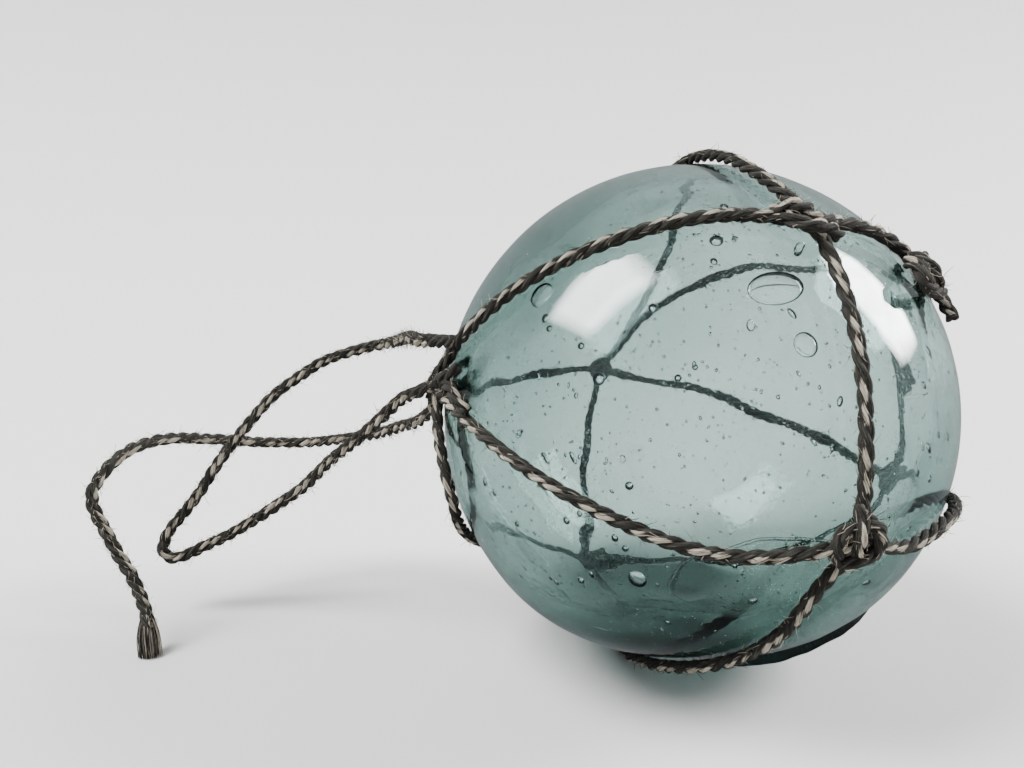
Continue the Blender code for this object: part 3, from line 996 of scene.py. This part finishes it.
def makeGlassBall():
    form = Form()
    outer = bmesh.new()
    bmesh.ops.create_icosphere(outer, subdivisions=ball["outerDetail"], radius=1)
    for reach in seal["fineReaches"]:
        bmesh.ops.subdivide_edges(outer, edges=sealRimEdges(outer, reach), cuts=1)
    bmesh.ops.triangulate(outer, faces=outer.faces)
    for vertex in outer.verts:
        aim = vertex.co.normalized()
        vertex.co = centre + aim * outerSurface(aim)
        vertex.co.z = max(vertex.co.z, 0)
    form.surface(outer)
    outer.free()
    print("blown surface made")
    inner = bmesh.new()
    bmesh.ops.create_icosphere(inner, subdivisions=ball["innerDetail"], radius=1)
    for vertex in inner.verts:
        aim = vertex.co.normalized()
        vertex.co = centre + aim * (glassRadius(aim) - wallThickness(aim))
    form.surface(inner, flip=True)
    inner.free()
    print("cavity made")
    for azimuth, elevation, length, across, flat, turned in largeBubbles:
        addBubble(form, direction((azimuth, elevation)), length, across, flat, depth=0.5,
                  turned=turned, detail=3)
    addSmallBubbles(form, random.Random(smallBubbles["seed"]))
    made = form.build("blown_glass_ball", makeGlassLook())
    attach(made, "root")
    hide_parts("glass_ball")
    print("glass ball blown,", len(form.faces), "faces")


makeGlassBall()


# Studio

# Two windows: the pixel of the photograph where each is mirrored in the ball, and its own size
windows = [
    {"name": "left_window", "mirroredAt": (600, 290), "size": (2.0, 2.7), "radiance": 44},
    {"name": "right_window", "mirroredAt": (872, 296), "size": (1.5, 2.7), "radiance": 66},
]

studio = {
    "windowsAway": 4.0,
    "softEdge": 0.16,                # how softly a window's light fades towards its edges
    "floorWidth": 6.0,
    "floorFront": -3.0,
    "coveStart": 0.55,               # behind this the floor curves up into a wall
    "coveRadius": 0.6,
    "coveSteps": 24,
    "wallTop": 2.6,
    "floorColour": (0.50, 0.498, 0.49),
    "floorRoughness": 0.95,
    "floorGloss": 0.1,
    "roomColour": (0.93, 0.95, 1.0),
    "roomLight": 0.36,               # what the room gives the float and mirrors in it
    "skylight": 0.25,                # what it gains overhead, and loses below
    "wallLight": 1.25,               # how bright its pale walls are to the eye and through the glass
}


def makeFloor():
    # a pale sheet that lies flat under the float and curves up into a wall behind it
    profile = [(studio["floorFront"], 0), (studio["coveStart"], 0)]
    radius = studio["coveRadius"]
    for step in range(1, studio["coveSteps"] + 1):
        angle = math.radians(90 * step / studio["coveSteps"])
        profile.append((studio["coveStart"] + radius * math.sin(angle), radius * (1 - math.cos(angle))))
    profile.append((profile[-1][0], studio["wallTop"]))
    half = studio["floorWidth"] / 2
    points = [(x, y, z) for y, z in profile for x in (-half, half)]
    faces = [(2 * step, 2 * step + 1, 2 * step + 3, 2 * step + 2) for step in range(len(profile) - 1)]
    mesh = bpy.data.meshes.new("studio_floor")
    mesh.from_pydata(points, [], faces)
    mesh.shade_smooth()
    look = Finish("pale_floor", Base_Color=opaque(studio["floorColour"]),
                  Roughness=studio["floorRoughness"], Specular_IOR_Level=studio["floorGloss"])
    mesh.materials.append(look.material)
    made = bpy.data.objects.new("studio_floor", mesh)
    made.visible_glossy = False      # the glass mirrors the room, which is darker than the sheet
    bpy.context.scene.collection.objects.link(made)


def makeSky():
    # pale walls to the eye and through the glass, but a dim room as light and in reflections
    world = bpy.data.worlds.new("studio_room")
    world.use_nodes = True
    sky = Look(world.node_tree)
    light = sky.tree.nodes["Background"]
    height = sky.node("ShaderNodeVectorMath", {"operation": "DOT_PRODUCT"},
                      {0: sky.coordinate("Generated"), 1: (0, 0, 1)}, "Value")
    sky.join(light.inputs["Color"], opaque(studio["roomColour"]))
    seen = (sky.node("ShaderNodeLightPath", {}, {}, "Is Camera Ray")
            + sky.node("ShaderNodeLightPath", {}, {}, "Is Transmission Ray"))
    room = studio["roomLight"] + height * studio["skylight"]
    sky.join(light.inputs["Strength"], room + seen.clamped() * (studio["wallLight"] - room))
    bpy.context.scene.world = world


def makeWindow(window):
    # where the camera sees the window mirrored in the ball settles where the window is
    ray = pixelRay(window["mirroredAt"])
    start = camera.location - centre
    along = ray.dot(start)
    nearer = -along - math.sqrt(along ** 2 - start.length_squared + ball["radius"] ** 2)
    normal = (start + ray * nearer).normalized()
    towards = ray - 2 * ray.dot(normal) * normal
    data = bpy.data.lights.new(window["name"], "AREA")
    data.shape = "RECTANGLE"
    data.size, data.size_y = window["size"]
    data.energy = window["radiance"] * math.pi * data.size * data.size_y
    data.use_nodes = True
    glow = Look(data.node_tree)
    place = glow.node("ShaderNodeNewGeometry", {}, {}, "Parametric")
    across = glow.node("ShaderNodeSeparateXYZ", {}, {"Vector": place}, "X")
    up = glow.node("ShaderNodeSeparateXYZ", {}, {"Vector": place}, "Y")
    soft = (glow.remap(across * (1 - across), 0, studio["softEdge"])
            * glow.remap(up * (1 - up), 0, studio["softEdge"]))
    glow.join(glow.tree.nodes["Emission"].inputs["Strength"], soft)
    made = bpy.data.objects.new(window["name"], data)
    made.location = centre + normal * ball["radius"] + towards * studio["windowsAway"]
    made.rotation_euler = towards.to_track_quat("Z", "Y").to_euler()
    made.visible_camera = False
    bpy.context.scene.collection.objects.link(made)


makeFloor()
makeSky()
for window in windows:
    makeWindow(window)
print("studio lit")
